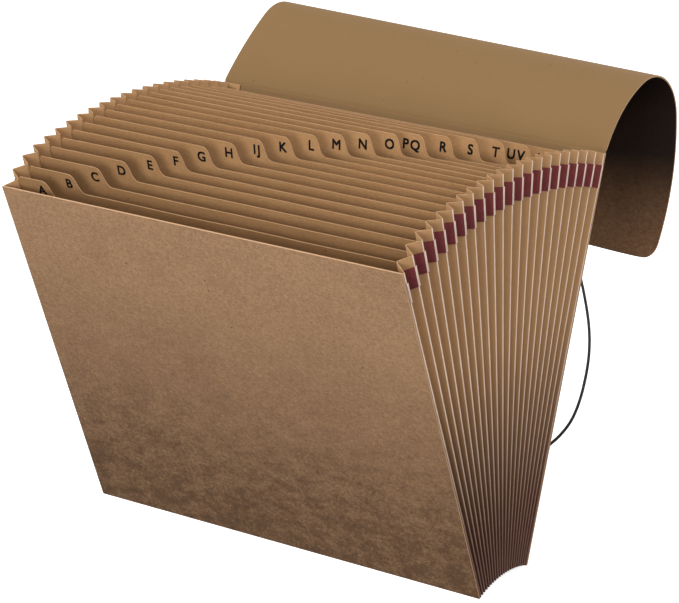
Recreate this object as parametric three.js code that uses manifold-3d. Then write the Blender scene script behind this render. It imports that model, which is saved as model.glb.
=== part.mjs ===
// Expanding file: two board covers, pleated gussets that let it fan open, a divider in
// every pleat with a stepped top edge, and a flap that rolls over behind the back cover.
// Millimetres. +X runs across the file, +Y from the front cover to the back, +Z up.
// The origin is the middle of the level foot of the front cover, on the surface it stands on.

import * as THREE from 'three';
import * as BufferGeometryUtils from 'three/addons/utils/BufferGeometryUtils.js';
import Module from 'manifold-3d';

const degrees = THREE.MathUtils.degToRad;

// Covers
const FILE_WIDTH = 305;
const FILE_HEIGHT = 275;
const FRONT_DROP = 9;
const BOARD = 1.2;
const FOOT_DEPTH = 60.4;
const LEAN = degrees(20);

// Pleats and dividers
const DIVIDER_NAMES = [
  'a', 'b', 'c', 'd', 'e', 'f', 'g', 'h', 'ij', 'k', 'l',
  'm', 'n', 'o', 'pq', 'r', 's', 't', 'uv', 'w', 'xyz',
];
const PLEATS = DIVIDER_NAMES.length;
const GUSSET_PAPER = 0.4;
const FOLD_FLAT = 1.0;
const PLEAT_DEPTH_TOP = 7.8;
const PLEAT_DEPTH_FOOT = 9.2;
const GUSSET_FOOT = 0.6;
const GLUE_FLANGE = 14;
const RISING_PLEATS = 3;
const SEAT_GAP = 0.3;
const DIVIDER_CARD = 0.5;
const TAB_STEP = 13.5;
const TAB_PITCH = 12.98;
const TAB_CURVE_WIDTH = 12.5;
const TAB_CURVE_LOW = 0.62;
const TAB_CURVE_HIGH = 0.66;
const FIRST_TAB_RIGHT = 39.9;
const DIVIDER_CORNER = 2;
const DIVIDER_DROP = 1.3;
const SETTLE = 2.6;

// Cloth tape round the gussets, under their top edge
const TAPE_CLOTH = 0.25;
const TAPE_DROP = 8;
const TAPE_HEIGHT = 15;

// Flap: three tangent bends, from the crease at the back cover to the free edge
const FLAP_BOARD = 1.2;
const FLAP_RISE_LENGTH = 61.5;
const FLAP_TURN_LENGTH = 66.5;
const FLAP_TAIL_LENGTH = 103;
const FLAP_BENDS = [
  { length: FLAP_RISE_LENGTH, steps: 6 },
  { length: FLAP_TURN_LENGTH, steps: 16 },
  { length: FLAP_TAIL_LENGTH, steps: 7 },
];
const FLAP_ANGLES_RIGHT = [57.4, 12.3, -83.4, -129.2].map(degrees);
const FLAP_ANGLES_LEFT = [42.9, 29.1, -83.4, -129.2].map(degrees);
const FLAP_COLUMNS = 6;
const FLAP_CORNER = 10;
const CORNER_CUTS = [0, 0.4, 0.7, 0.9];
const SHORTEST_ROW = 0.5;
const CREASE_CARD = 0.5;
const CREASE_BEVEL = 1.5;

// Elastic cord and its two eyelets in the back cover
const CORD_DIAMETER = 2;
const EYELET_FROM_SIDE = 82.5;
const EYELET_FROM_TOP = 23;
const EYELET_FROM_FOOT = 22;
const EYELET_X = FILE_WIDTH / 2 - EYELET_FROM_SIDE;
const EYELET_HEIGHTS = { upper: FILE_HEIGHT - EYELET_FROM_TOP, lower: EYELET_FROM_FOOT };
const EYELET_WALL = 0.7;
const EYELET_FLANGE = 1.6;
const EYELET_PLATE = 0.5;
const ROUND_SIDES = 20;
const CORD_STEPS = 80;
const CORD_SIDES = 8;

// Materials
const kraftBoard = new THREE.MeshStandardMaterial({ color: 0x96795c, roughness: 0.85 });
const kraftCard = new THREE.MeshStandardMaterial({ color: 0xa07a4e, roughness: 0.85 });
const kraftPaper = new THREE.MeshStandardMaterial({ color: 0xa57b4b, roughness: 0.8 });
const tapeCloth = new THREE.MeshStandardMaterial({ color: 0x5e2330, roughness: 0.9 });
const eyeletBrass = new THREE.MeshStandardMaterial({ color: 0xb08d4a, roughness: 0.35, metalness: 1 });
const cordBlack = new THREE.MeshStandardMaterial({ color: 0x111111, roughness: 0.7 });

// The file opens as a fan: covers, pleats and dividers all lie on rays from one line below
// the foot. A fan's half depth is measured at the foot, where the distance along a ray is 0.
const FOOT_WIDTH = BOARD / Math.cos(LEAN);
const FOOT_MIDDLE = (FOOT_DEPTH - FOOT_WIDTH) / 2;

function makeFan(halfDepth) {
  const footRadius = halfDepth / Math.sin(LEAN);
  const centreZ = -footRadius * Math.cos(LEAN);
  return {
    radius: (along) => footRadius + along,
    point: (x, angle, along) => new THREE.Vector3(
      x,
      FOOT_MIDDLE + (footRadius + along) * Math.sin(angle),
      centreZ + (footRadius + along) * Math.cos(angle),
    ),
  };
}

// The gusset's end panels are glued to the covers' inner faces
const gussetInset = BOARD + SEAT_GAP + (GUSSET_PAPER + FOLD_FLAT) / 2;
const pleatFan = makeFan(FOOT_DEPTH / 2 - gussetInset / Math.cos(LEAN));
const PLEAT_ANGLE = (2 * LEAN) / PLEATS;
const pleatAngle = (k) => -LEAN + k * PLEAT_ANGLE;

// The front cover is lower than the rest, and the first pleats rise from it
const gussetHeight = (k) => FILE_HEIGHT - FRONT_DROP * Math.max(1 - k / RISING_PLEATS, 0) ** 2;
const RIDGE_X = (FILE_WIDTH - GUSSET_PAPER) / 2;
const VALLEY_CLEARANCE = GUSSET_PAPER / 2 + SEAT_GAP;
const gussetFraction = (along) => (along - GUSSET_FOOT) / (FILE_HEIGHT - GUSSET_FOOT);
const gussetAlong = (fraction) => (k) =>
  THREE.MathUtils.lerp(GUSSET_FOOT, gussetHeight(k), fraction);
const valleyX = (fraction) =>
  RIDGE_X - THREE.MathUtils.lerp(PLEAT_DEPTH_FOOT, PLEAT_DEPTH_TOP, fraction);

// Outline of a strip of even thickness along an open line of 2D points
function stripOutline(line, from, to) {
  const side = (offset) => line.map((point, i) => {
    const before = line[Math.max(i - 1, 0)];
    const after = line[Math.min(i + 1, line.length - 1)];
    const inward = point.clone().sub(i > 0 ? before : point);
    const outward = after.clone().sub(i < line.length - 1 ? point : after);
    const incoming = inward.length() > 0 ? inward.normalize() : outward.clone().normalize();
    const outgoing = outward.length() > 0 ? outward.normalize() : incoming.clone();
    const tangent = incoming.clone().add(outgoing).normalize();
    const normal = new THREE.Vector2(-tangent.y, tangent.x);
    const stretch = 1 / Math.max(tangent.dot(incoming), 0.2);
    return point.clone().addScaledVector(normal, offset * stretch);
  });
  return [...side(from), ...side(to).reverse()];
}

// Closed solid from rings of points, with the same flat outline closing both ends
function loftSolid(rings, outline) {
  const count = outline.length;
  const positions = rings.flat().flatMap((p) => [p.x, p.y, p.z]);
  const index = [];
  for (let ring = 0; ring + 1 < rings.length; ring += 1) {
    for (let i = 0; i < count; i += 1) {
      const next = (i + 1) % count;
      const a = ring * count + i;
      const b = ring * count + next;
      // a sheet's two faces split their quads along the same diagonal
      if (i < count / 2) index.push(a, b, b + count, a, b + count, a + count);
      else index.push(a, b, a + count, b, b + count, a + count);
    }
  }
  const last = (rings.length - 1) * count;
  for (const [a, b, c] of THREE.ShapeUtils.triangulateShape(outline, [])) {
    index.push(a, c, b);
    index.push(last + a, last + b, last + c);
  }
  const geometry = new THREE.BufferGeometry();
  geometry.setAttribute('position', new THREE.Float32BufferAttribute(positions, 3));
  geometry.setIndex(index);
  return facingOut(geometry);
}

function facingOut(geometry) {
  const position = geometry.attributes.position;
  const corners = [0, 1, 2].map(() => new THREE.Vector3());
  let volume = 0;
  for (let i = 0; i < geometry.index.count; i += 3) {
    corners.forEach((corner, j) => corner.fromBufferAttribute(position, geometry.index.getX(i + j)));
    volume += corners[0].dot(corners[1].clone().cross(corners[2]));
  }
  if (volume < 0) geometry.index.array.reverse();
  return geometry;
}

// Profile in the YZ plane carried across the file
function acrossFile(profile, width) {
  const shape = new THREE.Shape(profile);
  const geometry = new THREE.ExtrudeGeometry(shape, { depth: width, bevelEnabled: false });
  geometry.translate(0, 0, -width / 2);
  // shape x, shape y and depth become Y, Z and X
  geometry.applyMatrix4(new THREE.Matrix4().makeBasis(
    new THREE.Vector3(0, 1, 0),
    new THREE.Vector3(0, 0, 1),
    new THREE.Vector3(1, 0, 0),
  ));
  return geometry;
}

// Solids that are cut go through manifold-3d
const wasm = await Module();
wasm.setup();

function toManifold(geometry) {
  const bare = geometry.clone();
  bare.deleteAttribute('normal');
  bare.deleteAttribute('uv');
  const merged = BufferGeometryUtils.mergeVertices(bare, 1e-4);
  return new wasm.Manifold(new wasm.Mesh({
    numProp: 3,
    vertProperties: new Float32Array(merged.attributes.position.array),
    triVerts: new Uint32Array(merged.index.array),
  }));
}

function fromManifold(solid) {
  const { vertProperties, triVerts } = solid.getMesh();
  const geometry = new THREE.BufferGeometry();
  geometry.setAttribute('position', new THREE.BufferAttribute(vertProperties, 3));
  geometry.setIndex(new THREE.BufferAttribute(triVerts, 1));
  return geometry;
}

// Covers. Side -1 is the front and +1 the back; the foot is level and each cover's outer
// face lies in the plane that the fan's last ray sweeps.
function coverProfile(side, height, bevel) {
  const footY = FOOT_MIDDLE + (side * FOOT_DEPTH) / 2;
  const along = new THREE.Vector2(side * Math.sin(LEAN), Math.cos(LEAN));
  const inward = new THREE.Vector2(-side * Math.cos(LEAN), Math.sin(LEAN));
  const outerFoot = new THREE.Vector2(footY, 0);
  const innerFoot = new THREE.Vector2(footY - side * FOOT_WIDTH, 0);
  const at = (up, depth) =>
    outerFoot.clone().addScaledVector(along, up).addScaledVector(inward, depth);
  const edge = (BOARD - CREASE_CARD) / 2;
  const top = bevel > 0
    ? [at(height - bevel, BOARD), at(height, BOARD - edge), at(height, edge), at(height - bevel, 0)]
    : [at(height, BOARD), at(height, 0)];
  return [outerFoot, innerFoot, ...top];
}

function coverFrame(up, depth) {
  const outward = new THREE.Vector3(0, Math.cos(LEAN), -Math.sin(LEAN));
  const along = new THREE.Vector3(0, Math.sin(LEAN), Math.cos(LEAN));
  return new THREE.Vector3(0, FOOT_MIDDLE + FOOT_DEPTH / 2, 0)
    .addScaledVector(along, up)
    .addScaledVector(outward, depth);
}

const CORD_RADIUS = CORD_DIAMETER / 2;
const EYELET_BORE = CORD_RADIUS + SEAT_GAP;
const EYELET_BARREL = EYELET_BORE + EYELET_WALL;

function makeFrontCover() {
  return acrossFile(coverProfile(-1, FILE_HEIGHT - FRONT_DROP, 0), FILE_WIDTH);
}

function makeBackCover() {
  let cover = toManifold(acrossFile(coverProfile(1, FILE_HEIGHT, CREASE_BEVEL), FILE_WIDTH));
  for (const height of Object.values(EYELET_HEIGHTS)) {
    const drill = new THREE.CylinderGeometry(
      EYELET_BARREL + SEAT_GAP,
      EYELET_BARREL + SEAT_GAP,
      6 * BOARD,
      ROUND_SIDES,
    );
    drill.rotateX(-LEAN);
    const middle = coverFrame(height, -BOARD / 2);
    drill.translate(EYELET_X, middle.y, middle.z);
    cover = cover.subtract(toManifold(drill));
  }
  return fromManifold(cover);
}

// Side gusset: the fold line runs ridge, valley, ridge from the front cover to the back,
// with a flat at each fold and a flange glued to either cover.
function gussetLine(fraction) {
  const inner = valleyX(fraction);
  const line = [];
  for (let k = 0; k <= PLEATS; k += 1) {
    line.push({ x: RIDGE_X, k, shift: -FOLD_FLAT / 2 });
    line.push({ x: RIDGE_X, k, shift: FOLD_FLAT / 2 });
    if (k < PLEATS) {
      line.push({ x: inner, k: k + 0.5, shift: -FOLD_FLAT / 2 });
      line.push({ x: inner, k: k + 0.5, shift: FOLD_FLAT / 2 });
    }
  }
  return line;
}

function withFlanges(line) {
  const first = line[0];
  const last = line[line.length - 1];
  return [
    { ...first, x: first.x - GLUE_FLANGE },
    ...line,
    { ...last, x: last.x - GLUE_FLANGE },
  ];
}

// One ring of a gusset or its tape, at a fraction of the height; the offsets give the two
// faces, measured outward from the middle of the gusset's paper
function gussetRing(line, side, along, outer, inner) {
  const pitchLine = line.map((fold) => {
    const reach = pleatFan.radius(along(fold.k));
    return new THREE.Vector2(fold.x, pleatAngle(fold.k) * reach + fold.shift);
  });
  const outline = stripOutline(pitchLine, -outer, -inner);
  const folds = [...line, ...line.slice().reverse()];
  const ring = outline.map((point, i) => {
    const height = along(folds[i].k);
    return pleatFan.point(side * point.x, point.y / pleatFan.radius(height), height);
  });
  return { ring, outline };
}

// The panels twist as the fan widens, so the gusset has rings between foot and top, and
// the tape shares the two that lie at its edges
const tapeFractions = [TAPE_DROP + TAPE_HEIGHT, TAPE_DROP].map(
  (drop) => gussetFraction(FILE_HEIGHT - drop),
);
const gussetFractions = [0, 0.25, 0.5, 0.75, ...tapeFractions, 1];

function makeGusset(side) {
  const levels = gussetFractions.map((fraction) => gussetRing(
    withFlanges(gussetLine(fraction)),
    side,
    gussetAlong(fraction),
    GUSSET_PAPER / 2,
    -GUSSET_PAPER / 2,
  ));
  return loftSolid(levels.map((level) => level.ring), levels[0].outline);
}

function makeTape(side) {
  const inner = GUSSET_PAPER / 2 + SEAT_GAP;
  const levels = tapeFractions.map((fraction) => gussetRing(
    gussetLine(fraction),
    side,
    gussetAlong(fraction),
    inner + TAPE_CLOTH,
    inner,
  ));
  return loftSolid(levels.map((level) => level.ring), levels[0].outline);
}

// Pleated bottom: ridges down on the foot's arch, valleys up under the dividers
const BOTTOM_WIDTH = 2 * (valleyX(0) - VALLEY_CLEARANCE);

function makeBottomGusset() {
  const line = [];
  const push = (k, along, shift) => {
    const angle = pleatAngle(k) + shift / pleatFan.radius(along);
    const point = pleatFan.point(0, angle, along);
    line.push(new THREE.Vector2(point.y, point.z));
  };
  const low = GUSSET_FOOT + GUSSET_PAPER / 2;
  const high = low + PLEAT_DEPTH_FOOT;
  for (let k = 0; k <= PLEATS; k += 1) {
    if (k > 0) push(k, low, -FOLD_FLAT / 2);
    if (k < PLEATS) {
      push(k, low, FOLD_FLAT / 2);
      push(k + 0.5, high, -FOLD_FLAT / 2);
      push(k + 0.5, high, FOLD_FLAT / 2);
    }
  }
  return acrossFile(stripOutline(line, GUSSET_PAPER / 2, -GUSSET_PAPER / 2), BOTTOM_WIDTH);
}

// Divider: high at the left as far as its tab, then an S-curve down to the low edge
const DIVIDER_FOOT = GUSSET_FOOT + PLEAT_DEPTH_FOOT + GUSSET_PAPER + SEAT_GAP;

function dividerEdge(along) {
  return valleyX(gussetFraction(along)) - VALLEY_CLEARANCE;
}

function makeDivider(index) {
  const fromMiddle = (2 * index) / (PLEATS - 1) - 1;
  const high = FILE_HEIGHT - DIVIDER_DROP - SETTLE * fromMiddle ** 2;
  const low = high - TAB_STEP;
  const tabEnd = -FILE_WIDTH / 2 + FIRST_TAB_RIGHT + TAB_PITCH * index;
  const tabStart = tabEnd - TAB_CURVE_WIDTH;
  const shape = new THREE.Shape();
  shape.moveTo(-dividerEdge(DIVIDER_FOOT), DIVIDER_FOOT);
  shape.lineTo(dividerEdge(DIVIDER_FOOT), DIVIDER_FOOT);
  if (tabEnd < dividerEdge(low)) {
    shape.lineTo(dividerEdge(low), low);
    shape.lineTo(tabEnd, low);
    shape.bezierCurveTo(
      tabEnd - TAB_CURVE_LOW * TAB_CURVE_WIDTH, low,
      tabStart + TAB_CURVE_HIGH * TAB_CURVE_WIDTH, high,
      tabStart, high,
    );
  } else {
    shape.lineTo(dividerEdge(high), high);
  }
  shape.lineTo(-dividerEdge(high) + DIVIDER_CORNER, high);
  shape.lineTo(-dividerEdge(high - DIVIDER_CORNER), high - DIVIDER_CORNER);
  const geometry = new THREE.ExtrudeGeometry(shape, {
    depth: DIVIDER_CARD,
    bevelEnabled: false,
    curveSegments: 14,
  });
  geometry.translate(0, 0, -DIVIDER_CARD / 2);
  geometry.rotateX(Math.PI / 2);
  return geometry;
}

// Flap: a sheet between its left and right edge curves, both bent through the same arcs
const creaseHeight = FILE_HEIGHT + SEAT_GAP + CREASE_CARD / 2;
const crease = coverFrame(creaseHeight, -BOARD / 2);

function flapRows() {
  const rows = [{ travel: 0, bend: 0, part: 0, step: 0 }];
  let travel = 0;
  FLAP_BENDS.forEach((bend, number) => {
    const step = bend.length / bend.steps;
    for (let i = 1; i <= bend.steps; i += 1) {
      travel += step;
      rows.push({ travel, bend: number, part: (i - 0.5) / bend.steps, step });
    }
  });
  return rows;
}

function flapCurve(across, rows) {
  const angles = FLAP_ANGLES_RIGHT.map(
    (right, i) => THREE.MathUtils.lerp(FLAP_ANGLES_LEFT[i], right, across),
  );
  const place = new THREE.Vector2(crease.y, crease.z);
  return rows.map((row) => {
    const angle = THREE.MathUtils.lerp(angles[row.bend], angles[row.bend + 1], row.part);
    const direction = new THREE.Vector2(Math.cos(angle), Math.sin(angle));
    place.addScaledVector(direction, row.step);
    return { place: place.clone(), direction };
  });
}

function withEndRows(rows) {
  const total = rows[rows.length - 1].travel;
  const corner = CORNER_CUTS.map((portion) => total - FLAP_CORNER * (1 - portion));
  const cuts = [CREASE_BEVEL, ...corner];
  const all = rows.map((row) => ({ ...row }));
  for (const cut of cuts) {
    const at = all.findIndex((row) => row.travel > cut + SHORTEST_ROW);
    const after = all[at];
    const before = all[at - 1];
    if (cut - before.travel < SHORTEST_ROW) continue;
    const first = cut - before.travel;
    all.splice(at, 0, { ...after, travel: cut, step: first });
    after.step -= first;
  }
  return all;
}

function flapHalfWidth(travel, total) {
  const into = Math.max(travel - (total - FLAP_CORNER), 0);
  return FILE_WIDTH / 2 - FLAP_CORNER + Math.sqrt(FLAP_CORNER ** 2 - into ** 2);
}

function makeFlap() {
  const rows = withEndRows(flapRows());
  const total = rows[rows.length - 1].travel;
  const face = (offset) => {
    const columns = [];
    for (let column = 0; column <= FLAP_COLUMNS; column += 1) {
      const across = column / FLAP_COLUMNS;
      const curve = flapCurve(across, rows);
      columns.push(curve.map(({ place, direction }, i) => {
        const next = curve[Math.min(i + 1, curve.length - 1)].direction;
        const tangent = direction.clone().add(next).normalize();
        const normal = new THREE.Vector2(-tangent.y, tangent.x);
        const card = rows[i].travel < CREASE_BEVEL / 2 ? CREASE_CARD : FLAP_BOARD;
        const point = place.clone().addScaledVector(normal, offset * card);
        const x = (2 * across - 1) * flapHalfWidth(rows[i].travel, total);
        return new THREE.Vector3(x, point.x, point.y);
      }));
    }
    return columns;
  };
  const upper = face(0.5);
  const lower = face(-0.5);
  const rings = rows.map((row, i) => [
    ...lower.map((column) => column[i]),
    ...upper.map((column) => column[i]).reverse(),
  ]);
  const flat = rings[0].map((point) => new THREE.Vector2(point.x, point.z));
  return loftSolid(rings, flat);
}

// Eyelet: a barrel through the cover with a flange rolled over on either face
function makeEyelet() {
  const face = BOARD / 2 + SEAT_GAP;
  const rim = face + EYELET_PLATE;
  const flange = EYELET_BARREL + EYELET_FLANGE;
  const chamfer = EYELET_PLATE / 2;
  const profile = [
    [EYELET_BORE, -rim],
    [flange - chamfer, -rim],
    [flange, -rim + chamfer],
    [flange, -face],
    [EYELET_BARREL, -face],
    [EYELET_BARREL, face],
    [flange, face],
    [flange, rim - chamfer],
    [flange - chamfer, rim],
    [EYELET_BORE, rim],
    [EYELET_BORE, -rim],
  ].map(([radius, height]) => new THREE.Vector2(radius, height));
  return new THREE.LatheGeometry(profile, ROUND_SIDES);
}

// Elastic cord: it comes out of the upper eyelet, bows out past the back cover's right edge
// and goes into the lower eyelet. Each point is its distance past that edge, its share of the
// way up from the lower eyelet to the upper, and its distance out from the cover's face.
const cordRoute = [
  [-EYELET_FROM_SIDE, 1, -BOARD],
  [-EYELET_FROM_SIDE, 1, 1.5],
  [-78.5, 0.9965, 4],
  [-66.5, 0.9826, 3.4],
  [-44.5, 0.9348, 2.8],
  [-24.5, 0.863, 2.6],
  [-12.5, 0.8043, 2.5],
  [-4.3, 0.7509, 2.5],
  [4.2, 0.6748, 2.5],
  [10.5, 0.6022, 2.5],
  [13.8, 0.5361, 2.5],
  [14.7, 0.4696, 2.5],
  [13.5, 0.3913, 2.5],
  [10.3, 0.3348, 2.5],
  [4.7, 0.2891, 2.5],
  [-3.5, 0.2457, 2.5],
  [-21.5, 0.1674, 2.6],
  [-44.5, 0.0826, 2.8],
  [-66.5, 0.0217, 3.4],
  [-78.5, 0.003, 4],
  [-EYELET_FROM_SIDE, 0, 1.5],
  [-EYELET_FROM_SIDE, 0, -BOARD],
];

function makeCord() {
  const { upper, lower } = EYELET_HEIGHTS;
  const points = cordRoute.map(([past, share, out]) => (
    coverFrame(THREE.MathUtils.lerp(lower, upper, share), out).setX(FILE_WIDTH / 2 + past)
  ));
  const path = new THREE.CatmullRomCurve3(points, false, 'centripetal');
  const section = new THREE.Shape();
  for (let i = 0; i < CORD_SIDES; i += 1) {
    const turn = (2 * Math.PI * i) / CORD_SIDES;
    const x = CORD_RADIUS * Math.cos(turn);
    const y = CORD_RADIUS * Math.sin(turn);
    if (i === 0) section.moveTo(x, y);
    else section.lineTo(x, y);
  }
  return new THREE.ExtrudeGeometry(section, { steps: CORD_STEPS, extrudePath: path });
}

const file = new THREE.Group();

function add(name, geometry, material) {
  const mesh = new THREE.Mesh(geometry, material);
  mesh.name = name;
  file.add(mesh);
  return mesh;
}

add('front_cover', makeFrontCover(), kraftBoard);
add('back_cover', makeBackCover(), kraftBoard);
add('flap', makeFlap(), kraftBoard);
add('left_gusset', makeGusset(-1), kraftPaper);
add('right_gusset', makeGusset(1), kraftPaper);
add('bottom_gusset', makeBottomGusset(), kraftPaper);
add('left_gusset_tape', makeTape(-1), tapeCloth);
add('right_gusset_tape', makeTape(1), tapeCloth);

DIVIDER_NAMES.forEach((name, index) => {
  const divider = add(`divider_${name}`, makeDivider(index), kraftCard);
  const angle = pleatAngle(index + 0.5);
  const foot = pleatFan.point(0, angle, 0);
  divider.position.copy(foot);
  divider.rotation.x = -angle;
});

for (const [name, height] of Object.entries(EYELET_HEIGHTS)) {
  const eyelet = add(`${name}_eyelet`, makeEyelet(), eyeletBrass);
  eyelet.position.copy(coverFrame(height, -BOARD / 2)).setX(EYELET_X);
  eyelet.rotation.x = -LEAN;
}

add('elastic_cord', makeCord(), cordBlack);

export default file;
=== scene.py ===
"""Expanding file, fanned open with its flap rolled back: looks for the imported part."""

import math
import random

import bpy
from mathutils import Matrix, Vector


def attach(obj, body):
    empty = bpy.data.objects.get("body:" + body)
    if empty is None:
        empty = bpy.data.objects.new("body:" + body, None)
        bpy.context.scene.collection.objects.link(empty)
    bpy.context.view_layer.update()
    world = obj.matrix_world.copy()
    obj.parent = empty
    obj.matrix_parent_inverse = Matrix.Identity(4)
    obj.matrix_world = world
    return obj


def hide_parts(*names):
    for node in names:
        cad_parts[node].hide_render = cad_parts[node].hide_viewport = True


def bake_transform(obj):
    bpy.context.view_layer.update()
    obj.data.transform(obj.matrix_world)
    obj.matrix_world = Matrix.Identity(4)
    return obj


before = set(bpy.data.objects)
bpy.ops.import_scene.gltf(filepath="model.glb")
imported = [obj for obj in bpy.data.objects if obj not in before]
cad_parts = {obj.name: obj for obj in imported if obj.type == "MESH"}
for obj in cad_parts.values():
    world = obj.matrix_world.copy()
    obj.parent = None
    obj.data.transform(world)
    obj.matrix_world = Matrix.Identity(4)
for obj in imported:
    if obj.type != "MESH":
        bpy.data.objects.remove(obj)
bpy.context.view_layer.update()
random.seed(21)

MM = 0.001

# Sizes of the file, as its source has them
FILE_WIDTH = 305 * MM
FILE_HEIGHT = 275 * MM
BOARD = 1.2 * MM
FOOT_DEPTH = 60.4 * MM
LEAN = math.radians(20)
SEAT_GAP = 0.3 * MM
DIVIDER_CARD = 0.5 * MM
FOOT_WIDTH = BOARD / math.cos(LEAN)
FOOT_MIDDLE = (FOOT_DEPTH - FOOT_WIDTH) / 2
PLEATS = 21
PLEAT_ANGLE = 2 * LEAN / PLEATS
GUSSET_INSET = 2.2 * MM
FAN_RADIUS = (FOOT_DEPTH / 2 - GUSSET_INSET / math.cos(LEAN)) / math.sin(LEAN)
FAN_Z = -FAN_RADIUS * math.cos(LEAN)

# The eyelets: millimetres past the back cover's right side, and heights up its face
EYELET_PAST = -82.5
UPPER_EYELET = 252 * MM
LOWER_EYELET = 22 * MM

# The flap: its hinge line's y and z in millimetres, how steeply the board leaves it at
# the left and right ends, and the axis that it curls about
HINGE = Vector((153.4413, 259.1375))
FLAP_RISE_LEFT = 42.9
FLAP_RISE_RIGHT = 57.4
CURL_AXIS = Vector((0, 206, 232)) * MM


def divider_angle(index):
    return -LEAN + (index + 0.5) * PLEAT_ANGLE


def on_divider(index, across, along, out):
    """A point on a divider: across the file, up its card, and out from its middle plane."""
    angle = divider_angle(index)
    reach = FAN_RADIUS + along
    return Vector((
        across,
        FOOT_MIDDLE + reach * math.sin(angle) - out * math.cos(angle),
        FAN_Z + reach * math.cos(angle) + out * math.sin(angle),
    ))


def on_back_cover(past, up, out):
    """A point of the back cover: past its right side, up its face, and out from it."""
    return Vector((
        FILE_WIDTH / 2 + past,
        FOOT_MIDDLE + FOOT_DEPTH / 2 + up * math.sin(LEAN) + out * math.cos(LEAN),
        up * math.cos(LEAN) - out * math.sin(LEAN),
    ))


# ---------------------------------------------------------------- camera
CAMERA_PLACE = (1.07307, -1.52160, 0.87523)
CAMERA_AZIMUTH = math.radians(34.0172)
CAMERA_ELEVATION = math.radians(20.6836)
CAMERA_ROLL = math.radians(-0.5356)
CAMERA_LENS = 163.07
CAMERA_SENSOR = 36


def direction(azimuth, elevation):
    """From the file towards a camera or lamp: azimuth 0 is straight in front."""
    return Vector((
        math.sin(azimuth) * math.cos(elevation),
        -math.cos(azimuth) * math.cos(elevation),
        math.sin(elevation),
    ))


def place_camera():
    back = direction(CAMERA_AZIMUTH, CAMERA_ELEVATION)
    right = Vector((0, 0, 1)).cross(back).normalized()
    up = back.cross(right)
    rolled_right = right * math.cos(CAMERA_ROLL) + up * math.sin(CAMERA_ROLL)
    rolled_up = up * math.cos(CAMERA_ROLL) - right * math.sin(CAMERA_ROLL)
    turn = Matrix((rolled_right, rolled_up, back)).transposed().to_4x4()
    bpy.ops.object.camera_add()
    camera = bpy.context.object
    camera.name = "photo_camera"
    camera.matrix_world = Matrix.Translation(CAMERA_PLACE) @ turn
    camera.data.lens = CAMERA_LENS
    camera.data.sensor_width = CAMERA_SENSOR
    camera.data.clip_start = 0.05
    camera.data.clip_end = 50
    bpy.context.scene.camera = camera


# ---------------------------------------------------------------- shader maths
class Wire:
    """A socket that takes part in sums; each operator adds its Math node."""

    def __init__(self, finish, socket):
        self.finish = finish
        self.socket = socket

    def _math(self, operation, *values, clamp=False):
        node = self.finish.node(
            "ShaderNodeMath", dict(enumerate(values)), operation=operation, use_clamp=clamp)
        return Wire(self.finish, node.outputs[0])

    def __add__(self, other):
        return self._math("ADD", self, other)

    __radd__ = __add__

    def __sub__(self, other):
        return self._math("SUBTRACT", self, other)

    def __rsub__(self, other):
        return self._math("SUBTRACT", other, self)

    def __mul__(self, other):
        return self._math("MULTIPLY", self, other)

    __rmul__ = __mul__

    def __abs__(self):
        return self._math("ABSOLUTE", self)

    def __gt__(self, other):
        return self._math("GREATER_THAN", self, other)

    def sine(self):
        return self._math("SINE", self)

    def largest(self, other):
        return self._math("MAXIMUM", self, other)

    def clamped(self):
        return self._math("ADD", self, 0.0, clamp=True)

    def between(self, low, high):
        """0 at low and 1 at high, smooth between them."""
        node = self.finish.node(
            "ShaderNodeMapRange",
            {"Value": self, "From Min": low, "From Max": high},
            interpolation_type="SMOOTHSTEP",
        )
        return Wire(self.finish, node.outputs[0])


class Finish:
    """The nodes of one material, or of the world."""

    def __init__(self, owner):
        self.owner = owner
        owner.use_nodes = True
        self.tree = owner.node_tree
        self.tree.nodes.clear()

    def plug(self, value, socket):
        if isinstance(value, Wire):
            self.tree.links.new(value.socket, socket)
        elif isinstance(value, bpy.types.NodeSocket):
            self.tree.links.new(value, socket)
        else:
            socket.default_value = value

    def node(self, kind, inputs=None, **settings):
        """Any node: its settings come first, then the values or links of its sockets."""
        node = self.tree.nodes.new(kind)
        for name, value in settings.items():
            setattr(node, name, value)
        for name, value in (inputs or {}).items():
            self.plug(value, node.inputs[name])
        return node

    def place(self):
        """The piece's own coordinates, in metres."""
        return self.node("ShaderNodeTexCoord").outputs["Object"]

    def axes(self, vector):
        node = self.node("ShaderNodeSeparateXYZ", {"Vector": vector})
        return [Wire(self, output) for output in node.outputs]

    def facing(self):
        """The surface normal's three parts."""
        return self.axes(self.node("ShaderNodeNewGeometry").outputs["Normal"])

    def stretched(self, vector, scale):
        return self.node("ShaderNodeMapping", {"Vector": vector, "Scale": scale}).outputs[0]

    def noise(self, vector, scale, detail=2.0, roughness=0.5):
        """Noise about zero, from -0.5 to 0.5."""
        node = self.node("ShaderNodeTexNoise", {
            "Vector": vector, "Scale": scale, "Detail": detail, "Roughness": roughness,
        })
        return Wire(self, node.outputs[0]) - 0.5

    def mix(self, factor, first, second):
        """A colour from first to second; a colour mix has them at sockets 6 and 7."""
        node = self.node(
            "ShaderNodeMix", {0: factor, 6: first, 7: second}, data_type="RGBA")
        return node.outputs[2]

    def scaled(self, colour, factor):
        node = self.node(
            "ShaderNodeVectorMath", {0: colour, "Scale": factor}, operation="SCALE")
        return node.outputs[0]

    def bump(self, height, strength, distance):
        return self.node("ShaderNodeBump", {
            "Height": height, "Strength": strength, "Distance": distance,
        }).outputs[0]

    def surface(self, inputs):
        shader = self.node("ShaderNodeBsdfPrincipled", inputs)
        self.node("ShaderNodeOutputMaterial", {"Surface": shader.outputs[0]})
        return self.owner


def new_finish(name):
    return Finish(bpy.data.materials.new(name))


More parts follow.
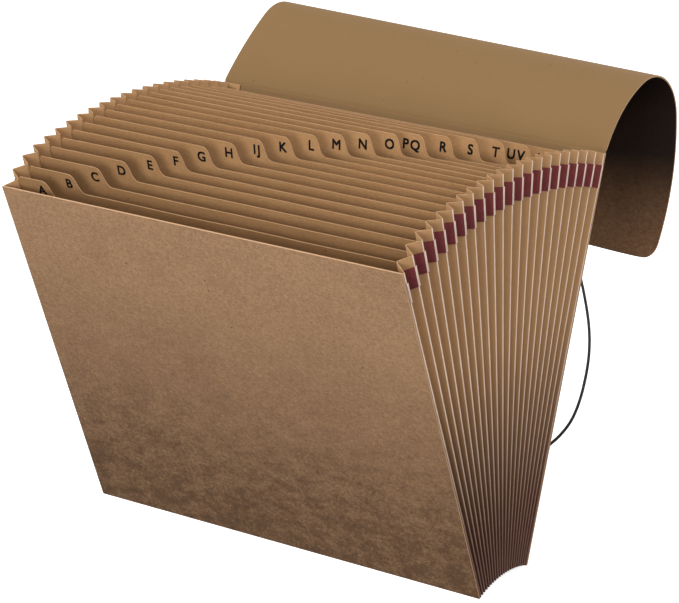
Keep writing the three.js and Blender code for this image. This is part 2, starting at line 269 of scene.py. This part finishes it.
def srgb(red, green, blue):
    """A colour as seen, from 0 to 255, as the shader's linear colour."""
    def linear(value):
        value /= 255
        return value / 12.92 if value <= 0.04045 else ((value + 0.055) / 1.055) ** 2.4
    return (linear(red), linear(green), linear(blue), 1)


# ---------------------------------------------------------------- finishes
CUT_EDGE = srgb(196, 158, 122)
FOOT_SHADE_AND_DIRT = srgb(64, 38, 25)
ROLL_SHADE_COLOUR = srgb(18, 5, 4)
FOLD_LIGHT = srgb(253, 228, 211)
FOLD_LINE_SHADED_AT_FOOT = srgb(104, 65, 55)
PLEAT_SHADE_AT_FOOT = srgb(72, 31, 21)
PLEAT_DEPTHS_SHADE = srgb(12, 4, 3)

# Heights, in metres up the file, from where a painted shade starts to where it is full
FOOT_SHADE_RANGE = (0.215, -0.04)
ROLL_SHADE_RANGE = (0.148, 0.252)
PLEAT_SHADE_RANGE = (0.185, 0.03)
FOLD_SHADE_RANGE = (0.18, 0.02)

# Distances from the file's middle plane, in metres: where the painted shade deep in the pleats
# starts and is darkest, and where the outermost line of a fold and of the tape's fold starts
DEPTHS_SHADE_RANGE = (0.1522, 0.1475)
FOLD_RIDGE = 0.15237
TAPE_RIDGE = 0.1529
RIDGE_BLUR = 0.0001

THREAD_WAVES = 9000.0
BRAID_ALONG = 942.45
BRAID_AROUND = 25.13


def paper_tone(finish, vector, cloud, mottle, grain):
    """How light the pulp is from place to place, from 0 to 1 and about a half."""
    return (
        0.5
        + finish.noise(vector, 28, 3) * cloud
        + finish.noise(vector, 380, 4, 0.75) * mottle
        + finish.noise(vector, 1100, 2) * grain
    )


def specks(finish, vector, scale, size, rarity=0.72):
    """Dark flecks of bark in the pulp: 1 in a fleck."""
    node = finish.node("ShaderNodeTexVoronoi", {
        "Vector": vector, "Scale": scale, "Randomness": 1.0,
    })
    near = Wire(finish, node.outputs["Distance"])
    chosen = Wire(finish, finish.node(
        "ShaderNodeSeparateColor", {"Color": node.outputs["Color"]}).outputs[0])
    return (1.0 - near.between(size * 0.5, size)) * (chosen > rarity)


def fibres(finish, vector, turn):
    """Short pale and dark fibres, lying about one way."""
    laid = finish.node("ShaderNodeMapping", {
        "Vector": vector, "Rotation": (0.0, turn, 0.0), "Scale": (260, 900, 2400),
    }).outputs[0]
    return finish.noise(laid, 1.0, 3, 0.6)


def shaded_dirty_foot(finish, vector, height, colour, shade_share):
    """Painted shade and dirt: darkens a cover towards its foot, in soft smudges and small
    blotches.
    """
    low = height.between(*FOOT_SHADE_RANGE) + finish.noise(vector, 14, 3) * 0.4
    smudges = finish.noise(finish.stretched(vector, (60, 60, 100)), 1.0, 5, 0.72)
    blotches = finish.noise(vector, 420, 5, 0.85)
    shade_and_dirt = (low * (0.8 + (blotches * 5.0 + smudges * 3.6))).clamped()
    return finish.mix(shade_and_dirt * shade_share, colour, FOOT_SHADE_AND_DIRT)


def paint_roll_shade(finish, vector, height, colour):
    """Painted shade: darkens the inside of the flap's curl towards its crown."""
    inside = height.between(*ROLL_SHADE_RANGE) + finish.noise(vector, 20, 3) * 0.3
    return finish.mix((inside * 1.15).clamped() * 0.95, colour, ROLL_SHADE_COLOUR)


def kraft(name, light, dark, cloud, mottle, grain, fleck,
          foot_shade_and_dirt=0.0, top_cut=True, shaded_roll=False):
    """Kraft board or card: pulp mottling, fibres and flecks, with paler cut edges."""
    finish = new_finish(name)
    vector = finish.place()
    tone = paper_tone(finish, vector, cloud, mottle, grain)
    tone = tone + fibres(finish, vector, 0.5) * grain
    colour = finish.mix(tone.clamped(), dark, light)
    colour = finish.scaled(colour, 1.0 - specks(finish, vector, 95, 0.09) * fleck)
    height = finish.axes(vector)[2]
    # Painted shade and dirt towards a cover's foot.
    if foot_shade_and_dirt:
        colour = shaded_dirty_foot(finish, vector, height, colour, foot_shade_and_dirt)
    # Painted shade inside the flap's curl.
    if shaded_roll:
        colour = paint_roll_shade(finish, vector, height, colour)
    side, _, up = finish.facing()
    edge = abs(side)
    if top_cut:
        edge = edge.largest(up.between(0.62, 0.8))
    colour = finish.mix(edge.between(0.5, 0.8), colour, CUT_EDGE)
    relief = finish.noise(vector, 900, 4, 0.65) + fibres(finish, vector, 1.2) * 0.8
    return finish.surface({
        "Base Color": colour,
        "Roughness": (finish.noise(vector, 180, 2) * 0.12 + 0.86).clamped(),
        "Specular IOR Level": 0.28,
        "Normal": finish.bump(relief, 0.22, 0.00035),
    })


def folded_paper(name, light, dark, ridge_start, weave=False):
    """Paper or cloth of the pleats: pale lines on the outer folds, with painted shade on them
    towards the foot, and painted shade on the paper towards the foot and deep in the pleats.
    """
    finish = new_finish(name)
    vector = finish.place()
    across, _, height = finish.axes(vector)
    tone = paper_tone(finish, vector, 0.2, 0.5, 0.3)
    streaks = finish.noise(finish.stretched(vector, (900, 900, 14)), 1.0, 3, 0.6)
    tone = tone + streaks * (0.9 if weave else 0.3)
    colour = finish.mix(tone.clamped(), dark, light)
    if not weave:
        # Painted shade: the paper darkens towards the foot, and most deep in the pleats low
        # down.
        low = height.between(*PLEAT_SHADE_RANGE)
        depth_shade = abs(across).between(*DEPTHS_SHADE_RANGE)
        colour = finish.mix(low * 0.9, colour, PLEAT_SHADE_AT_FOOT)
        colour = finish.mix(low * depth_shade, colour, PLEAT_DEPTHS_SHADE)
    ridge_patches = finish.noise(finish.stretched(vector, (300, 300, 60)), 1.0, 4, 0.7)
    ridge = abs(across).between(ridge_start, ridge_start + RIDGE_BLUR)
    # The pale fold lines take a painted shade towards the foot.
    fold = finish.mix(
        height.between(*FOLD_SHADE_RANGE) * 0.88, FOLD_LIGHT, FOLD_LINE_SHADED_AT_FOOT)
    colour = finish.mix((ridge * (0.86 + ridge_patches)).clamped(), colour, fold)
    if not weave:
        up = finish.facing()[2]
        colour = finish.mix(up.between(0.6, 0.85), colour, CUT_EDGE)
    relief = finish.noise(vector, 1000, 4, 0.6)
    if weave:
        threads = (height * THREAD_WAVES).sine() * 0.5 + (across * THREAD_WAVES).sine() * 0.5
        relief = relief * 0.5 + threads * 0.5 + streaks
    return finish.surface({
        "Base Color": colour,
        "Roughness": 0.92 if weave else 0.84,
        "Specular IOR Level": 0.2 if weave else 0.3,
        "Normal": finish.bump(relief, 0.3, 0.0003),
    })


def braided_elastic():
    """Black round elastic in a fine two-way braid."""
    finish = new_finish("braided_elastic")
    along, around, _ = finish.axes(finish.node("ShaderNodeUVMap").outputs[0])
    first = (along * BRAID_ALONG + around * BRAID_AROUND).sine()
    second = (along * BRAID_ALONG - around * BRAID_AROUND).sine()
    braid = first.largest(second)
    return finish.surface({
        "Base Color": finish.mix(braid.between(-0.2, 1.0), srgb(4, 4, 5), srgb(19, 18, 19)),
        "Roughness": 0.62,
        "Normal": finish.bump(braid, 0.6, 0.0002),
    })


def brushed_brass():
    """Lacquered brass of the eyelets, a little tarnished."""
    finish = new_finish("brushed_brass")
    vector = finish.place()
    tarnish = finish.noise(vector, 260, 4, 0.7).between(-0.1, 0.25)
    return finish.surface({
        "Base Color": finish.mix(tarnish, srgb(206, 172, 104), srgb(150, 112, 60)),
        "Metallic": 1.0,
        "Roughness": tarnish * 0.25 + 0.26,
        "Normal": finish.bump(finish.noise(vector, 2200, 2), 0.1, 0.0002),
    })


def printing_ink():
    """Black index letters, with the card showing faintly through."""
    finish = new_finish("printing_ink")
    thin = finish.noise(finish.place(), 1500, 3, 0.7).between(0.02, 0.4)
    return finish.surface({
        "Base Color": finish.mix(thin, srgb(9, 7, 7), srgb(34, 24, 18)),
        "Roughness": 0.8,
        "Specular IOR Level": 0.15,
    })


def make_finishes():
    board = dict(cloud=0.6, mottle=1.8, grain=1.3, fleck=0.6)
    smooth = dict(cloud=0.3, mottle=0.3, grain=0.3, fleck=0.3)
    card = dict(cloud=0.5, mottle=0.7, grain=0.8, fleck=0.45)
    return {
        # The covers' kraft carries painted shade and dirt towards the foot.
        "cover": kraft(
            "mottled_kraft", srgb(184, 146, 110), srgb(144, 110, 82), foot_shade_and_dirt=0.6, **board),
        "lining": kraft(
            "smooth_kraft", srgb(142, 111, 73), srgb(130, 101, 65), top_cut=False, **smooth),
        # Inside of the flap's curl: the covers' kraft painted darker as shade, and darker
        # still towards the crown.
        "shaded_roll": kraft(
            "shaded_roll_kraft", srgb(150, 114, 82), srgb(112, 78, 56),
            top_cut=False, shaded_roll=True, **board),
        "card": kraft("index_card", srgb(182, 141, 96), srgb(151, 112, 73), **card),
        "pleat": folded_paper(
            "pleat_kraft", srgb(190, 148, 104), srgb(168, 128, 88), FOLD_RIDGE),
        "tape": folded_paper(
            "maroon_cloth", srgb(140, 68, 68), srgb(98, 42, 48), TAPE_RIDGE, weave=True),
        "cord": braided_elastic(),
        "brass": brushed_brass(),
        "ink": printing_ink(),
    }


# ---------------------------------------------------------------- workshop steps
def only(piece):
    """Selects one piece and nothing else."""
    bpy.ops.object.select_all(action="DESELECT")
    piece.select_set(True)
    bpy.context.view_layer.objects.active = piece


def give(piece, *materials):
    piece.data.materials.clear()
    for material in materials:
        piece.data.materials.append(material)


def apply_modifier(piece, kind, **settings):
    only(piece)
    modifier = piece.modifiers.new(kind.lower(), kind)
    for name, value in settings.items():
        setattr(modifier, name, value)
    bpy.ops.object.modifier_apply(modifier=modifier.name)


def soften_edges(piece, width, sharper_than, segments=2):
    """Bevels the edges whose faces meet at more than an angle in degrees."""
    apply_modifier(
        piece, "BEVEL", width=width * MM, segments=segments,
        limit_method="ANGLE", angle_limit=math.radians(sharper_than))


def copy_of(node, name, quads=True):
    """A new piece from a solid's own shape, its triangles merged into clean faces."""
    piece = bpy.data.objects.new(name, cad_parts[node].data.copy())
    bpy.context.scene.collection.objects.link(piece)
    only(piece)
    bpy.ops.object.mode_set(mode="EDIT")
    bpy.ops.mesh.select_all(action="SELECT")
    bpy.ops.mesh.customdata_custom_splitnormals_clear()
    bpy.ops.mesh.remove_doubles(threshold=0.00001)
    if quads:
        bpy.ops.mesh.tris_convert_to_quads(
            face_threshold=math.radians(40), shape_threshold=math.radians(80))
    else:
        bpy.ops.mesh.dissolve_limited(angle_limit=math.radians(0.6))
    bpy.ops.object.mode_set(mode="OBJECT")
    return piece


def settle(piece, node, body, slot, *materials, smooth=28):
    """Smooths, paints and mounts a finished piece in place of its solid."""
    only(piece)
    bpy.ops.object.shade_smooth_by_angle(angle=math.radians(smooth))
    give(piece, *materials)
    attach(piece, body)
    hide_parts(node)


# ---------------------------------------------------------------- covers and pleats
def make_covers(finishes):
    """Two stiff boards with softened cut edges, smooth kraft on their inner faces."""
    for node, name, inward in (
        ("front_cover", "front_board", 1),
        ("back_cover", "back_board", -1),
    ):
        piece = copy_of(node, name, quads=False)
        soften_edges(piece, 0.28, 50)
        settle(
            piece, node, "file_body", "cover_board", finishes["cover"], finishes["lining"])
        for face in piece.data.polygons:
            face.material_index = 1 if face.normal.y * inward > 0.8 else 0


# The pleated bottom's ridges, up their card: where they reach out furthest, how far above
# that they are back in place, and how far they reach out
MITRE_LOW = 0.8 * MM
MITRE_DEPTH = 9.2 * MM
MITRE_REACH = 9.1 * MM


def mitre_ends(piece):
    """Draws the bottom's ridges out into the side pleats, so the foot's corners close."""
    for vertex in piece.data.vertices:
        across, y, z = vertex.co
        along = math.hypot(y - FOOT_MIDDLE, z - FAN_Z) - FAN_RADIUS
        low_share = 1 - min(max((along - MITRE_LOW) / MITRE_DEPTH, 0), 1)
        vertex.co.x += math.copysign(MITRE_REACH * low_share, across)


def make_pleats(finishes):
    """Side gussets, the pleated bottom and the cloth tape, with rounded folds."""
    rows = (
        ("left_gusset", "left_pleats", 0.22, "gusset_paper", "pleat"),
        ("right_gusset", "right_pleats", 0.22, "gusset_paper", "pleat"),
        ("bottom_gusset", "bottom_pleats", 0.2, "gusset_paper", "pleat"),
        ("left_gusset_tape", "left_tape", 0.1, "tape_cloth", "tape"),
        ("right_gusset_tape", "right_tape", 0.1, "tape_cloth", "tape"),
    )
    for node, name, rounding, slot, finish in rows:
        piece = copy_of(node, name)
        if node == "bottom_gusset":
            mitre_ends(piece)
        soften_edges(piece, rounding, 24)
        settle(piece, node, "file_body", slot, finishes[finish], smooth=40)


# ---------------------------------------------------------------- dividers
DIVIDER_NAMES = "a b c d e f g h ij k l m n o pq r s t uv w xyz".split()
BOW = [random.uniform(-1, 1) * 0.9 * MM for _ in DIVIDER_NAMES]
WAVE = [random.uniform(-1, 1) * 0.35 * MM for _ in DIVIDER_NAMES]

# Lines that a card is cut along, so that it can bow
BOW_COLUMNS = [step * 22 * MM for step in range(-6, 7)]
BOW_ROWS = [along * MM for along in (70, 130, 180, 215, 240, 256)]
CUT_THRESHOLD = 0.000001


def bowed(index, across, along):
    """How far a card stands out of its plane, from its slack; nothing at its glued edges."""
    share = across / (FILE_WIDTH / 2)
    free = max(1 - share * share, 0) * (along / FILE_HEIGHT) ** 2
    return free * (BOW[index] + WAVE[index] * math.sin(3 * math.pi * share))


def cut_along(place, normal):
    bpy.ops.mesh.select_all(action="SELECT")
    bpy.ops.mesh.bisect(plane_co=place, plane_no=normal, threshold=CUT_THRESHOLD)


def make_dividers(finishes):
    """Cards that bow a little between the gussets, each with its stepped tab."""
    for index, name in enumerate(DIVIDER_NAMES):
        node = f"divider_{name}"
        piece = copy_of(node, f"card_{name}", quads=False)
        angle = divider_angle(index)
        out = Vector((0, -math.cos(angle), math.sin(angle)))
        up = Vector((0, math.sin(angle), math.cos(angle)))
        foot = on_divider(index, 0, 0, 0)
        only(piece)
        bpy.ops.object.mode_set(mode="EDIT")
        for across in BOW_COLUMNS:
            cut_along((across, 0, 0), (1, 0, 0))
        for along in BOW_ROWS:
            cut_along(on_divider(index, 0, along, 0), up)
        bpy.ops.object.mode_set(mode="OBJECT")
        for vertex in piece.data.vertices:
            along = (vertex.co - foot).dot(up)
            vertex.co += out * bowed(index, vertex.co.x, along)
        soften_edges(piece, 0.1, 60, segments=1)
        settle(piece, node, "file_body", "divider_card", finishes["card"], smooth=30)


# Index letters: each label ends a set way short of its tab's end and stands under its edge
FIRST_TAB_END = -FILE_WIDTH / 2 + 39.9 * MM
TAB_PITCH = 12.98 * MM
LABEL_SHORT_OF_TAB = 10.2 * MM
LABEL_UNDER_EDGE = 7.2 * MM
LETTER_HEIGHT = 6.3 * MM
LETTER_SPACING = 1.25
LETTER_THICKNESS = 0.003
INK_CLEARANCE = 0.03 * MM
INK_STEP = 0.004 * MM

# A label is printed four times, a little aside, which makes its strokes bold
BOLD = 0.26 * MM
BOLD_STEPS = ((-BOLD, -BOLD), (BOLD, -BOLD), (-BOLD, BOLD), (BOLD, BOLD))


def divider_top(index):
    """How far up its card a divider's edge is: the tops follow a shallow arch."""
    from_middle = 2 * index / (PLEATS - 1) - 1
    return FILE_HEIGHT - 1.3 * MM - 2.6 * MM * from_middle ** 2


def label_mesh(text):
    """A label as a thin closed mesh, flat on the ground and 1 m in size."""
    bpy.ops.object.select_all(action="DESELECT")
    bpy.ops.object.text_add(location=(0, 0, 0), rotation=(0, 0, 0))
    label = bpy.context.object
    label.data.body = text
    label.data.size = 1.0
    label.data.space_character = LETTER_SPACING
    label.data.extrude = LETTER_THICKNESS
    label.data.resolution_u = 4
    bpy.ops.object.convert(target="MESH")
    return bpy.context.object


def span(piece, axis):
    """The least and the greatest place of a piece's points along an axis."""
    places = [vertex.co[axis] for vertex in piece.data.vertices]
    return min(places), max(places)


def make_letters(finishes):
    """The printed index letters, all in one piece on the front of the cards."""
    plain = label_mesh("H")
    low, high = span(plain, 1)
    scale = LETTER_HEIGHT / (high - low)
    middle = (high + low) / 2
    bpy.data.objects.remove(plain)
    labels = []
    for index, name in enumerate(DIVIDER_NAMES):
        end = FIRST_TAB_END + TAB_PITCH * index - LABEL_SHORT_OF_TAB
        centre = divider_top(index) - LABEL_UNDER_EDGE
        for layer, (aside, above) in enumerate(BOLD_STEPS):
            label = label_mesh(name.upper())
            right = span(label, 0)[1]
            for vertex in label.data.vertices:
                across = end + (vertex.co.x - right) * scale + aside
                along = centre + (vertex.co.y - middle) * scale + above
                out = DIVIDER_CARD / 2 + INK_CLEARANCE + vertex.co.z * scale
                out += layer * INK_STEP + bowed(index, across, along)
                vertex.co = on_divider(index, across, along, out)
            labels.append(label)
    bpy.ops.object.select_all(action="DESELECT")
    for label in labels:
        label.select_set(True)
    bpy.context.view_layer.objects.active = labels[0]
    bpy.ops.object.join()
    letters = bpy.context.object
    letters.name = "index_letters"
    give(letters, finishes["ink"])
    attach(letters, "file_body")


# ---------------------------------------------------------------- flap
CRISP_CORNER = math.radians(50)

# The crease card: its width, its columns, and its rows' distances past the hinge line,
# down the back cover and then up the flap, in millimetres
CREASE_WIDTH = 304 * MM
CREASE_COLUMNS = 13
CREASE_ROWS = (-1.6, -0.55, 0, 0.5, 1.1)
CREASE_CARD = 0.5 * MM


def make_flap(finishes):
    """The rolled flap: one smooth curled board with rounded corners and crisp edges."""
    piece = copy_of("flap", "curled_flap")
    beside = {}
    for face in piece.data.polygons:
        for key in face.edge_keys:
            beside.setdefault(key, []).append(face.normal)
    crisp = piece.data.attributes.new("crease_edge", "FLOAT", "EDGE")
    for edge in piece.data.edges:
        normals = beside.get(edge.key, [])
        if len(normals) == 2 and normals[0].angle(normals[1], 0) > CRISP_CORNER:
            crisp.data[edge.index].value = 1.0
    apply_modifier(piece, "SUBSURF", levels=2, render_levels=2)
    settle(
        piece, "flap", "flap", "cover_board", finishes["lining"], finishes["shaded_roll"], smooth=40)
    # Faces that look into the curl take the painted shade; the others take the lining.
    for face in piece.data.polygons:
        inward = CURL_AXIS - face.center
        inward.x = 0
        face.material_index = 1 if face.normal.dot(inward.normalized()) > 0.4 else 0


def make_crease(finishes):
    """The scored card that joins the flap to the back cover."""
    bpy.ops.object.select_all(action="DESELECT")
    bpy.ops.mesh.primitive_grid_add(
        x_subdivisions=CREASE_COLUMNS - 1, y_subdivisions=len(CREASE_ROWS) - 1,
        size=1, calc_uvs=False)
    piece = bpy.context.object
    piece.name = "crease_card"
    down_cover = Vector((math.sin(LEAN), math.cos(LEAN)))
    for vertex in piece.data.vertices:
        share = vertex.co.x + 0.5
        reach = CREASE_ROWS[round((vertex.co.y + 0.5) * (len(CREASE_ROWS) - 1))]
        rise = math.radians(FLAP_RISE_LEFT + (FLAP_RISE_RIGHT - FLAP_RISE_LEFT) * share)
        up_flap = Vector((math.cos(rise), math.sin(rise)))
        y, z = HINGE + (down_cover if reach < 0 else up_flap) * reach
        vertex.co = ((share - 0.5) * CREASE_WIDTH, y * MM, z * MM)
    apply_modifier(piece, "SOLIDIFY", thickness=CREASE_CARD, offset=0)
    only(piece)
    bpy.ops.object.shade_smooth_by_angle(angle=math.radians(40))
    give(piece, finishes["lining"])
    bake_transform(piece)


# ---------------------------------------------------------------- eyelets and cord
EYELET_BORE = 1.3 * MM
EYELET_BARREL = 2.0 * MM
EYELET_FLANGE = 3.6 * MM
EYELET_ROLL = 0.5 * MM
EYELET_SIDES = 48


def eyelet_walk():
    """The ring's cross-section as radius and height, round from one bore edge to the other."""
    face = BOARD / 2 + SEAT_GAP
    rim = face + EYELET_ROLL
    upper = [
        (EYELET_BORE, rim * 0.75),
        (EYELET_BORE + 0.25 * MM, rim),
        (EYELET_BARREL + 0.5 * MM, rim),
        (EYELET_FLANGE - 0.25 * MM, rim - 0.1 * MM),
        (EYELET_FLANGE, face + 0.15 * MM),
        (EYELET_FLANGE - 0.1 * MM, face),
        (EYELET_BARREL + 0.1 * MM, face),
        (EYELET_BARREL, face - 0.1 * MM),
    ]
    return upper + [(radius, -height) for radius, height in reversed(upper)]


def make_eyelets(finishes):
    """Brass eyelets rolled over either face of the back cover."""
    walk = eyelet_walk()
    turn = Matrix.Rotation(math.radians(-90) - LEAN, 4, "X")
    for node, name, up in (
        ("upper_eyelet", "upper_ring", UPPER_EYELET),
        ("lower_eyelet", "lower_ring", LOWER_EYELET),
    ):
        bpy.ops.object.select_all(action="DESELECT")
        bpy.ops.mesh.primitive_circle_add(
            vertices=EYELET_SIDES, radius=walk[0][0], location=(0, 0, walk[0][1]))
        piece = bpy.context.object
        piece.name = name
        bpy.ops.object.transform_apply(location=True)
        bpy.ops.object.mode_set(mode="EDIT")
        bpy.ops.mesh.select_all(action="SELECT")
        for (radius, height), (next_radius, next_height) in zip(walk, walk[1:]):
            bpy.ops.mesh.extrude_region_move(
                TRANSFORM_OT_translate={"value": (0, 0, next_height - height)})
            ratio = next_radius / radius
            bpy.ops.transform.resize(value=(ratio, ratio, 1))
        bpy.ops.mesh.select_all(action="SELECT")
        bpy.ops.mesh.select_non_manifold(extend=False)
        bpy.ops.mesh.bridge_edge_loops()
        bpy.ops.mesh.select_all(action="SELECT")
        bpy.ops.mesh.normals_make_consistent(inside=False)
        bpy.ops.object.mode_set(mode="OBJECT")
        seat = on_back_cover(EYELET_PAST * MM, up, -BOARD / 2)
        piece.data.transform(Matrix.Translation(seat) @ turn)
        settle(piece, node, "file_body", "eyelet_metal", finishes["brass"], smooth=60)


# The elastic's route: millimetres past the cover's side, share of the way up from the
# lower eyelet to the upper one, and millimetres out from the cover's face
CORD_DIAMETER = 2 * MM
CORD_ROUTE = [
    (EYELET_PAST, 1, -1.2), (EYELET_PAST, 1, 1.5), (-78.5, 0.9965, 4),
    (-66.5, 0.9826, 3.4), (-44.5, 0.9348, 2.8), (-24.5, 0.863, 2.6),
    (-12.5, 0.8043, 2.5), (-4.3, 0.7509, 2.5), (4.2, 0.6748, 2.5),
    (10.5, 0.6022, 2.5), (13.8, 0.5361, 2.5), (14.7, 0.4696, 2.5),
    (13.5, 0.3913, 2.5), (10.3, 0.3348, 2.5), (4.7, 0.2891, 2.5),
    (-3.5, 0.2457, 2.5), (-21.5, 0.1674, 2.6), (-44.5, 0.0826, 2.8),
    (-66.5, 0.0217, 3.4), (-78.5, 0.003, 4),
    (EYELET_PAST, 0, 1.5), (EYELET_PAST, 0, -1.2),
]
CORD_STEPS = 8


def cord_line():
    """The cord's centreline: a centripetal curve through its route."""
    points = [
        on_back_cover(
            past * MM, LOWER_EYELET + share * (UPPER_EYELET - LOWER_EYELET), out * MM)
        for past, share, out in CORD_ROUTE
    ]
    ends = [points[0] * 2 - points[1]] + points + [points[-1] * 2 - points[-2]]
    line = []
    for a, b, c, d in zip(ends, ends[1:], ends[2:], ends[3:]):
        ab, bc, cd = ((q - p).length ** 0.5 for p, q in ((a, b), (b, c), (c, d)))
        leave = ((b - a) / ab - (c - a) / (ab + bc) + (c - b) / bc) * bc
        arrive = ((c - b) / bc - (d - b) / (bc + cd) + (d - c) / cd) * bc
        for step in range(CORD_STEPS):
            t = step / CORD_STEPS
            line.append(
                b * (2 * t ** 3 - 3 * t ** 2 + 1) + leave * (t ** 3 - 2 * t ** 2 + t)
                + c * (3 * t ** 2 - 2 * t ** 3) + arrive * (t ** 3 - t ** 2))
    line.append(points[-1])
    return line


def make_cord(finishes):
    """Round elastic that bows out past the back cover and holds the flap shut."""
    line = cord_line()
    length = sum((q - p).length for p, q in zip(line, line[1:]))
    bpy.ops.object.select_all(action="DESELECT")
    bpy.ops.curve.primitive_nurbs_path_add(location=(0, 0, 0))
    cord = bpy.context.object
    cord.name = "round_elastic"
    cord.data.splines.clear()
    spline = cord.data.splines.new("POLY")
    spline.points.add(len(line) - 1)
    for point, place in zip(spline.points, line):
        point.co = (*place, 1)
    cord.data.twist_mode = "MINIMUM"
    cord.data.bevel_depth = CORD_DIAMETER / 2
    cord.data.bevel_resolution = 4
    cord.data.use_fill_caps = True
    only(cord)
    bpy.ops.object.convert(target="MESH")
    cord = bpy.context.object
    only(cord)
    bpy.ops.object.shade_smooth()
    give(cord, finishes["cord"])
    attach(cord, "file_body")
    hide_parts("elastic_cord")


# ---------------------------------------------------------------- stage
FLOOR_SIZE = 30
FLOOR_SEEN = (0.8, 0.8, 0.8, 1)
FLOOR_GLOW = 0.74
FLOOR_BOUNCE = (0.16, 0.15, 0.14, 1)
WORLD_LIGHT = 0.25
WORLD_SEEN = 1.0
LAMP_TARGET = Vector((0, 0.02, 0.14))
LAMP_DISTANCE = 2.0

# Name, azimuth and elevation in degrees, size in metres and power in watts
LAMPS = (
    ("key", -52, 48, 0.7, 24),
    ("fill", 66, 34, 1.0, 17),
    ("front", 5, 5, 1.2, 24),
    ("back", 168, 24, 1.2, 20),
)


def make_floor():
    """A floor that looks white and keeps a soft shadow, but throws little light back."""
    bpy.ops.object.select_all(action="DESELECT")
    bpy.ops.mesh.primitive_plane_add(size=FLOOR_SIZE, location=(0, 0, 0))
    floor = bpy.context.object
    floor.name = "pale_floor"
    finish = new_finish("pale_floor")
    seen = finish.node("ShaderNodeLightPath").outputs["Is Camera Ray"]
    matt = finish.node("ShaderNodeBsdfDiffuse", {"Color": FLOOR_SEEN})
    glow = finish.node("ShaderNodeEmission", {"Strength": FLOOR_GLOW})
    bright = finish.node("ShaderNodeAddShader", {0: matt.outputs[0], 1: glow.outputs[0]})
    dim = finish.node("ShaderNodeBsdfDiffuse", {"Color": FLOOR_BOUNCE})
    choice = finish.node(
        "ShaderNodeMixShader", {0: seen, 1: dim.outputs[0], 2: bright.outputs[0]})
    finish.node("ShaderNodeOutputMaterial", {"Surface": choice.outputs[0]})
    give(floor, finish.owner)


def make_world():
    """White surroundings to the camera and in reflections, and a dim light from them."""
    world = bpy.data.worlds.new("studio")
    bpy.context.scene.world = world
    finish = Finish(world)
    path = finish.node("ShaderNodeLightPath")
    to_camera, glossy, through = (
        Wire(finish, path.outputs[name])
        for name in ("Is Camera Ray", "Is Glossy Ray", "Is Transmission Ray"))
    strength = finish.node("ShaderNodeMapRange", {
        "Value": to_camera.largest(glossy).largest(through),
        "To Min": WORLD_LIGHT, "To Max": WORLD_SEEN,
    })
    background = finish.node("ShaderNodeBackground", {
        "Color": (1, 1, 1, 1), "Strength": strength.outputs[0],
    })
    finish.node("ShaderNodeOutputWorld", {"Surface": background.outputs[0]})


def make_lamps():
    """Four plain soft lamps round the file."""
    for name, azimuth, elevation, size, power in LAMPS:
        toward_lamp = direction(math.radians(azimuth), math.radians(elevation))
        bpy.ops.object.light_add(
            type="AREA", location=LAMP_TARGET + LAMP_DISTANCE * toward_lamp)
        lamp = bpy.context.object
        lamp.name = name
        lamp.data.size = size
        lamp.data.energy = power
        lamp.rotation_euler = (-toward_lamp).to_track_quat("-Z", "Y").to_euler()


place_camera()
FINISHES = make_finishes()
make_cord(FINISHES)
make_covers(FINISHES)
make_pleats(FINISHES)
make_dividers(FINISHES)
make_letters(FINISHES)
make_flap(FINISHES)
make_crease(FINISHES)
make_eyelets(FINISHES)
make_floor()
make_world()
make_lamps()
bpy.context.scene.view_settings.view_transform = "Standard"
